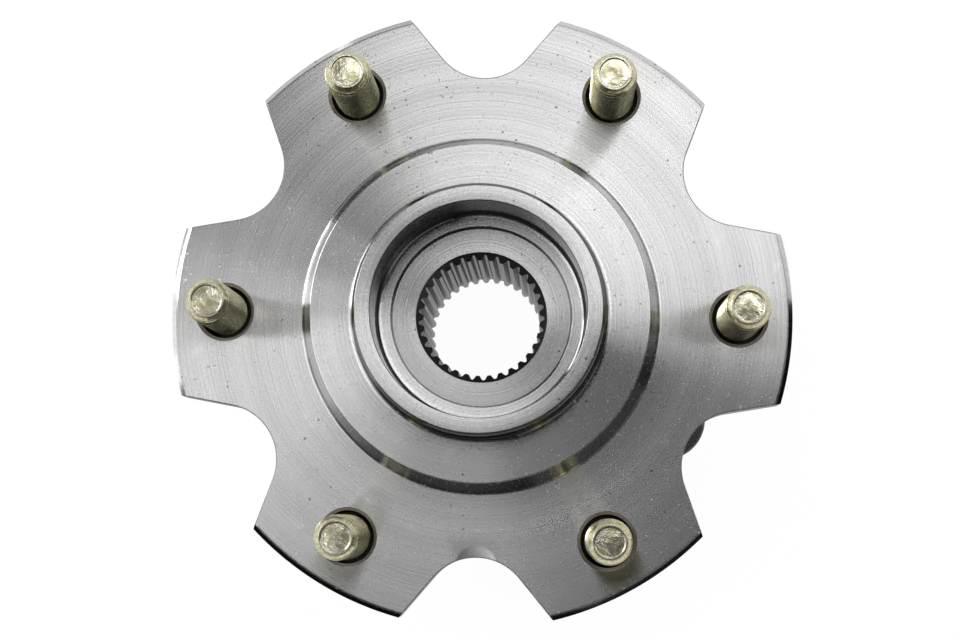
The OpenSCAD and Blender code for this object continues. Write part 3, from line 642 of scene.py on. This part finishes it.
# The turned front and back, the spline, the outer wall and the holes, joined by four flat faces.
# The first line names the finishes in the order of the materials.
def makeHub(materials):
    turned, forged, bore, holeEdge, holeWall, steepWall, mark, pilotWall = range(len(materials))
    shell = newShell()
    around = circleAngles(360)
    profile = roundedProfile(frontCorners)
    front = revolved(profile, around)
    back = revolved(roundedProfile(backCorners, 10), around)
    step = np.abs(np.diff(profile, axis=0))
    isSteep = step[:, 1:] > 0.9 * step[:, :1]
    isPilot = profile[:-1, :1] < hub["pilotR"] + hub["pilotFillet"]
    # Steep walls round the pilot and the recess take the darker steel of painted shade, other steep
    # walls the wall steel
    addGrid(shell, front, np.where(isSteep, np.where(isPilot, pilotWall, steepWall), turned))
    addGrid(shell, back, turned)
    teeth = splineGrid()
    addGrid(shell, teeth, bore)
    addFlat(shell, [front[0], teeth[0]], hub["nutSeatZ"], turned)
    addFlat(shell, [back[-1], teeth[-1]], hub["endZ"], turned)
    # Rows down the outside: height, rim radius and how far the notch edges are broken
    rim, small, thick = hub["flangeR"], hub["edgeBreak"], hub["flangeT"]
    slope = hub["bevelW"] / hub["bevelH"]
    rows = [(0, rim - hub["bevelW"] - 0.1, small), (-0.06, rim - hub["bevelW"] + 0.06, small / 2),
            (-small, rim - hub["bevelW"] + small * slope, 0), (-hub["bevelH"], rim, 0),
            (hub["backChamfer"] - thick, rim, 0), (small - thick, rim - hub["backChamfer"] + small, 0),
            (-thick, rim - hub["backChamfer"], small)]
    rimFinish = np.array([turned, turned, steepWall, turned, turned, steepWall])[:, None]
    outlines = [flangeOutline(r, offset) for z, r, offset in rows]
    wall = np.stack([np.column_stack((o, z + forgingMark(o) * (z > -hub["bevelH"])))
                     for o, (z, r, offset) in zip(outlines, rows)])
    widest = outlines[3]
    onRim = np.hypot(widest[:, 0], widest[:, 1]) > rim - 1e-6
    addGrid(shell, wall, np.where(onRim & np.roll(onRim, -1), rimFinish, forged))
    # Stud holes, with their chamfers at the face
    holeProfile = np.array([(hub["holeR"] + hub["holeChamfer"], 0),
                            (hub["holeR"], -hub["holeChamfer"]), (hub["holeR"], -thick)])
    hole = revolved(holeProfile, circleAngles(72)) + (hub["studCircleR"], 0, 0)
    holes = [placed(hole, angle) for angle in circleAngles(hub["lobes"])]
    # Each hole's chamfer takes holeSteel, and its wall the near-black painted shade
    for points in holes:
        addGrid(shell, points, [[holeEdge], [holeWall]])
    # Rings of extra points give the forging mark its hollow, where they are clear of the notch
    inner = [revolved(np.array([(r, 0)]), circleAngles(72))[0, :, :2] - (0, hub["markCentreR"])
             for r in np.linspace(0.2, 1, 9) * hub["markR"]]
    inner = np.concatenate(inner)
    notch = np.hypot(inner[:, 0], inner[:, 1] + hub["notchFloorR"] + hub["notchRoundR"])
    inner = inner[notch > hub["notchRoundR"] + small + 0.15]
    addFlat(shell, [wall[0], front[-1]] + [points[0] for points in holes], forgingMark,
            lambda places: np.where(forgingMark(places) < -0.01, mark, turned), inner)
    addFlat(shell, [wall[-1], back[0]] + [points[-1] for points in holes], -thick, turned)
    return makePiece("hub_forging", shell, materials, "hub",
                     ["hub_flange"])


# Wheel studs

stud = {"radius": 6, "pitch": 1.5, "threadDepth": 0.75, "neckR": 5.65, "top": 29, "leadEnd": 27.9,
        "leadH": 2.4, "leadR": 5.45, "rimR": 4.45, "rimW": 0.45, "dish": 0.3, "dishEdge": 0.25,
        "crown": 0.2, "shankR": 7.15, "shankTop": -4.5, "headR": 10.5, "headBottom": -16.5,
        "flangeBack": -12, "threadStart": -3.5, "runOut": 0.4, "columns": 64, "rowsPerTurn": 12}


# The thread follows its helix: a row climbs by one pitch for each turn, and its radius is a
# triangle wave of the place in the pitch, made steeper and cut flat at the crest and the root.
def threadGrid(size, angles, bottom, top, steepness=1.45, flatRoot=0.2):
    turns = int(np.ceil((top - bottom) / size["pitch"])) + 1
    steps = np.arange(-size["rowsPerTurn"], turns * size["rowsPerTurn"] + 1)
    climb = steps[:, None] / size["rowsPerTurn"]
    height = bottom + size["pitch"] * (climb + angles[None] / (2 * pi))
    place = climb % 1
    wave = np.clip(steepness * np.abs(2 * place - 1) - flatRoot, 0, 1)
    radius = size["radius"] - size["threadDepth"] * (1 - wave) + 0 * height
    return height, radius


# A thread with a turned head and shank below it and a dished tip above. A cone cuts the crests down
# near the tip. The dish is deepest at its edge, and its middle rises from there by the crown times
# (1 - the square of radius / edge radius).
def makeStud(index, materials):
    zinc, tip, rim, holePaintedShade = range(len(materials))
    angles = circleAngles(stud["columns"])
    closing = np.append(angles, 2 * pi)
    height, radius = threadGrid(stud, closing, stud["threadStart"], stud["leadEnd"])
    height = np.clip(height, stud["threadStart"], stud["leadEnd"])
    slope = (stud["radius"] - stud["leadR"]) / stud["leadH"]
    cone = stud["leadR"] + (stud["leadEnd"] - height) * slope
    nearStart = np.maximum(0, 1 - (height - stud["threadStart"]))
    foot = stud["radius"] - stud["threadDepth"] + nearStart * stud["runOut"]
    radius = np.minimum(np.maximum(radius, np.minimum(foot, stud["radius"])), cone)
    radius = np.where(height >= stud["leadEnd"], stud["leadR"], radius)
    radius = np.where(height <= stud["threadStart"], stud["neckR"], radius)
    thread = np.stack((radius * np.cos(closing), radius * np.sin(closing), height), -1)
    shell = newShell()
    addGrid(shell, thread, zinc, closed=False)
    below = roundedProfile([(0, stud["headBottom"], 0), (stud["headR"], stud["headBottom"], 0.6),
                            (stud["headR"], stud["flangeBack"], 0.2),
                            (stud["shankR"], stud["flangeBack"], 0),
                            (stud["shankR"], stud["shankTop"], 0.6),
                            (stud["neckR"], stud["shankTop"], 0.2),
                            (stud["neckR"], stud["threadStart"], 0)], 4)
    dishR = stud["rimR"] - stud["rimW"] - stud["dishEdge"]
    dish = [(r, stud["top"] - stud["dish"] + stud["crown"] * (1 - (r / dishR) ** 2), 0.2 * (r == dishR))
            for r in (dishR, 3, 2, 1, 0)]
    above = roundedProfile([(stud["leadR"], stud["leadEnd"], 0), (stud["rimR"], stud["top"], 0.15),
                            (stud["rimR"] - stud["rimW"], stud["top"], 0.12)] + dish, 4)
    # Where the shank sits in its hole it takes the near-black painted shade
    inHole = below[:-1, 1:] > stud["flangeBack"] + 0.1
    addGrid(shell, revolved(below, angles), np.where(inHole, holePaintedShade, zinc))
    radius = above[:-1, :1]
    onDish, onRim = radius < stud["rimR"] - stud["rimW"] - 0.1, radius < stud["rimR"] + 0.3
    addGrid(shell, revolved(above, angles), np.where(onDish, tip, np.where(onRim, rim, zinc)))
    spot = circleAngles(hub["lobes"])[index]
    shell["points"] = [placed(points, spot, (hub["studCircleR"], 0, 0))
                       for points in shell["points"]]
    return makePiece(f"stud_{index + 1}", shell, materials, "hub", [f"wheel_stud_{index + 1}"],
                     35)


# Outer ring: it stands still, and its four ears take the bolts from the knuckle

ring = {"topZ": -14, "middleZ": -38, "endZ": -60.5, "mouthR": 43.3, "boreR": 42.7, "faceR": 47.4,
        "bodyR": 49, "bodyEndZ": -31, "bodyChamfer": 1.5, "turnedEndZ": -20.5, "neckR": 4,
        "earTopZ": -35, "faceZ": -47, "registerR": 47, "registerEndR": 45.4, "ears": 4,
        "earAngle": -26.3, "holeCircleR": 58, "earR": 11.6, "filletR": 9, "topRound": 1.6,
        "edge": 0.5, "threadR": 6, "drillR": 5.375, "holeChamfer": 0.8, "threadPitch": 1.25,
        "columns": 48, "rowsPerTurn": 8}

# The corners of a race: radius, distance from the bearing's middle and rounding. The inboard race
# is the mirror image of the outboard one.
raceCorners = [(ring["boreR"], 18.11, 0.2), (42.19, 18.11, 0.15), (37.82, 1.8, 0.15),
               (37.32, 1.3, 0.2)]
outboardRace = [(r, ring["middleZ"] + away, rounding) for r, away, rounding in raceCorners]
inboardRace = [(r, ring["middleZ"] - away, rounding) for r, away, rounding in raceCorners[::-1]]

# Radius, height and rounding: the bore from its outboard end, the body and the register
boreCorners = [(ring["faceR"], ring["topZ"], 0), (ring["mouthR"], ring["topZ"], 0.2),
               (ring["boreR"], ring["topZ"] - 0.6, 0.2), *outboardRace, *inboardRace,
               (ring["boreR"], ring["endZ"] + 0.5, 0.2), (ring["boreR"] + 0.5, ring["endZ"], 0.2),
               (ring["registerEndR"], ring["endZ"], 0)]
bodyCorners = [(ring["faceR"], ring["topZ"], 0),
               (ring["bodyR"] - ring["bodyChamfer"], ring["topZ"], 0.3),
               (ring["bodyR"], ring["topZ"] - ring["bodyChamfer"], 0.5),
               (ring["bodyR"], ring["bodyEndZ"], 0)]
registerCorners = [(ring["registerR"], ring["faceZ"], 0),
                   (ring["registerR"] - 0.2, ring["faceZ"] - 0.6, 0.2),
                   (ring["registerR"], ring["faceZ"] - 1.2, 0.3),
                   (ring["registerR"], ring["endZ"] + 1.5, 0.4),
                   (ring["registerR"] - 1.5, ring["endZ"], 0.3),
                   (ring["registerEndR"], ring["endZ"], 0)]


# Outline of the ears, moved into the metal by an offset. An ear is a round end on the hole circle,
# and fillets join it to the circle at the foot of the neck.
def earOutline(offset=0.0, endSteps=40, filletSteps=14, freeSteps=20):
    foot = ring["bodyR"] + ring["neckR"] - offset
    fillet = ring["filletR"] + offset
    end = ring["earR"] - offset
    side = fillet + end
    along = sqrt((foot + fillet) ** 2 - side ** 2)
    turn = atan2(side, along)
    bend = np.linspace(pi - turn, pi / 2, filletSteps)
    lower = np.column_stack((along + fillet * np.cos(bend), fillet * np.sin(bend) - side))
    over = np.linspace(-pi / 2, pi / 2, endSteps)[1:-1]
    tip = np.column_stack((ring["holeCircleR"] + end * np.cos(over), end * np.sin(over)))
    free = np.linspace(turn, 2 * pi / ring["ears"] - turn, freeSteps)[1:-1]
    rest = foot * np.column_stack((np.cos(free), np.sin(free)))
    part = np.concatenate((lower, tip, lower[::-1] * (1, -1), rest))
    return turnedCopies(part, circleAngles(ring["ears"], radians(ring["earAngle"])))


# Height of the ears' top: it sweeps up to the body in a quarter circle, so what it gains is the
# neck radius less the root of (its square - the square of how far a point is inside the foot)
def neckHeight(points):
    radius = np.hypot(points[:, 0], points[:, 1])
    inward = np.clip(ring["bodyR"] + ring["neckR"] - radius, 0, ring["neckR"])
    return ring["earTopZ"] + ring["neckR"] - np.sqrt(ring["neckR"] ** 2 - inward ** 2)


# Revolved bore, body and register, and between them the ears with their threaded holes
def makeRing(materials):
    skin, turned, ground, thread = range(len(materials))
    shell = newShell()
    around = circleAngles(288)
    bore = roundedProfile(boreCorners, 4)
    onRace = bore[:-1, :1] < ring["boreR"] - 0.2
    addGrid(shell, revolved(bore, around), np.where(onRace, ground, turned))
    body = revolved(roundedProfile(bodyCorners, 5), around)
    addGrid(shell, body, np.where(body[:-1, :1, 2] > ring["turnedEndZ"], turned, skin))
    register = revolved(roundedProfile(registerCorners, 5), around)
    addGrid(shell, register, turned)
    # Rows down the ears' sides: how far inside the outline, and how far below the top
    bend = np.linspace(0, pi / 2, 6)
    rows = [(ring["topRound"] * (1 - sin(b)), ring["topRound"] * (1 - cos(b))) for b in bend]
    outlines = [earOutline(inward) for inward, down in rows]
    top = neckHeight(outlines[0])
    wall = [np.column_stack((o, top - down)) for o, (inward, down) in zip(outlines, rows)]
    for inward, height in ((0, ring["faceZ"] + ring["edge"]), (ring["edge"], ring["faceZ"])):
        wall.append(np.column_stack((earOutline(inward), 0 * top + height)))
    addGrid(shell, np.stack(wall), skin)
    # Mounting holes with their thread, a chamfer at each mouth
    angles = circleAngles(ring["columns"])
    closing = np.append(angles, 2 * pi)
    size = {"radius": ring["threadR"], "threadDepth": ring["threadR"] - ring["drillR"],
            "pitch": ring["threadPitch"], "rowsPerTurn": ring["rowsPerTurn"]}
    height, radius = threadGrid(size, closing, ring["faceZ"], ring["earTopZ"])
    height = np.clip(height, ring["faceZ"], ring["earTopZ"])
    mouth = ring["drillR"] + ring["holeChamfer"]
    depth = np.minimum(height - ring["faceZ"], ring["earTopZ"] - height)
    radius = np.where(depth <= 0, mouth, np.maximum(radius, mouth - depth))
    hole = np.stack((radius * np.cos(closing), radius * np.sin(closing), height), -1)
    turns = circleAngles(ring["ears"], radians(ring["earAngle"]))
    holes = [placed(hole, turn, (ring["holeCircleR"], 0, 0)) for turn in turns]
    for points in holes:
        addGrid(shell, points, thread, closed=False)
    # Rings of extra points round the body follow the sweep of the neck
    neck = np.concatenate([revolved(np.array([(ring["bodyR"] + out, 0)]), circleAngles(180))[0, :, :2]
                           for out in (0.4, 1, 1.7, 2.3)])
    addFlat(shell, [wall[0], body[-1]] + [points[-1, :-1] for points in holes], neckHeight, skin, neck)
    addFlat(shell, [wall[-1], register[0]] + [points[0, :-1] for points in holes],
            ring["faceZ"], turned)
    return makePiece("bearing_outer_ring", shell, materials, "carrier",
                     ["outer_ring"], 30)


# Pieces whose CAD shape is right take a better material
dressed = {
    "groundSteel": ["outboard_inner_ring", "inboard_inner_ring"],
    "rollerSteel": ["outboard_rollers", "inboard_rollers"],
    "clipSteel": ["inner_ring_clip"],
    "cagePlastic": ["outboard_cage", "inboard_cage"],
    "sealSteel": ["outboard_seal_case", "inboard_seal_case", "inboard_slinger"],
    "sealRubber": ["outboard_seal_lip", "inboard_seal_lip"],
    "encoderRubber": ["encoder_ring"],
}


def dressNodes(materials):
    for finish, nodes in dressed.items():
        for name in nodes:
            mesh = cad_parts[name].data
            mesh.materials.clear()
            mesh.materials.append(materials[finish])


# The white board under the hub. The camera and mirror-like surfaces see it as plain white, it keeps
# the object's shadow where light falls on it, and from below it is clear.
board = {"level": -64.1, "halfWidth": 300, "halfDepth": 250, "whiteness": 0.92, "strength": 1.05,
         "colour": grey(0.85), "roughness": 0.9}


def makeFloor():
    material = bpy.data.materials.new("whiteBoard")
    material.use_nodes = True
    tree = material.node_tree
    shader, output = tree.nodes["Principled BSDF"], tree.nodes["Material Output"]
    shader.inputs["Base Color"].default_value = (*board["colour"], 1)
    shader.inputs["Roughness"].default_value = board["roughness"]
    path = addNode(tree, "LightPath").outputs
    seen = calculate(tree, "ADD", path["Is Camera Ray"], path["Is Glossy Ray"])
    seen = calculate(tree, "ADD", seen, path["Is Transmission Ray"])
    seen = calculate(tree, "MULTIPLY", calculate(tree, "MINIMUM", seen, 1.0), board["whiteness"])
    glow = addNode(tree, "Emission", {"Color": (1, 1, 1, 1), "Strength": board["strength"]})
    mixed = addNode(tree, "MixShader", {0: seen, 1: shader.outputs[0], 2: glow.outputs[0]})
    behind = addNode(tree, "NewGeometry").outputs["Backfacing"]
    clear = addNode(tree, "BsdfTransparent").outputs[0]
    both = addNode(tree, "MixShader", {0: behind, 1: mixed.outputs[0], 2: clear})
    tree.links.new(both.outputs[0], output.inputs["Surface"])
    mesh = bpy.data.meshes.new("floor")
    x, y, z = board["halfWidth"] * mm, board["halfDepth"] * mm, board["level"] * mm
    mesh.from_pydata([(-x, -y, z), (x, -y, z), (x, y, z), (-x, y, z)], [], [(0, 1, 2, 3)])
    mesh.materials.append(material)
    floor = bpy.data.objects.new("floor", mesh)
    bpy.context.scene.collection.objects.link(floor)


# The room is dark above, as the reflections in the metal show, and white below the horizon, with
# a short blur between them
room = {"above": 0.006, "below": 1.0, "blur": 0.03}


def makeWorld():
    world = bpy.data.worlds.new("studio")
    world.use_nodes = True
    tree = world.node_tree
    height = addNode(tree, "SeparateXYZ", {0: addNode(tree, "TexCoord").outputs["Object"]}).outputs["Z"]
    level = rescale(tree, height, -room["blur"], 0.0, room["below"], room["above"])
    tree.links.new(level, tree.nodes["Background"].inputs["Color"])
    bpy.context.scene.world = world


makeCamera()
for name, numbers in softBoxes.items():
    makeSoftBox(name, *numbers)
makeWorld()
makeFloor()
print("camera, lights and floor stand")
groups = {"lines": makeTurningLines(), "grain": makeGrain(), "nicks": makeNicks(),
          "scratches": makeScratches(), "patches": makePatches(), "edgeWear": makeEdgeWear()}
materials = {name: makeFinish(name, groups) for name in finishes}
print(len(materials), "finishes are mixed")
dressNodes(materials)
makeHub([materials[name] for name in ("turnedSteel", "forgedSkin", "boreSteel", "holeSteel",
                                      "holePaintedShade", "wallSteel", "markSteel", "recessSteelPaintedShade")])
for number in range(hub["lobes"]):
    makeStud(number, [materials[name] for name in ("studZinc", "studTip", "studRim", "holePaintedShade")])
makeRing([materials[name] for name in ("ringSkin", "ringTurned", "groundSteel", "ringTurned")])
print("all pieces are made")

bpy.context.scene.view_settings.view_transform = "Standard"
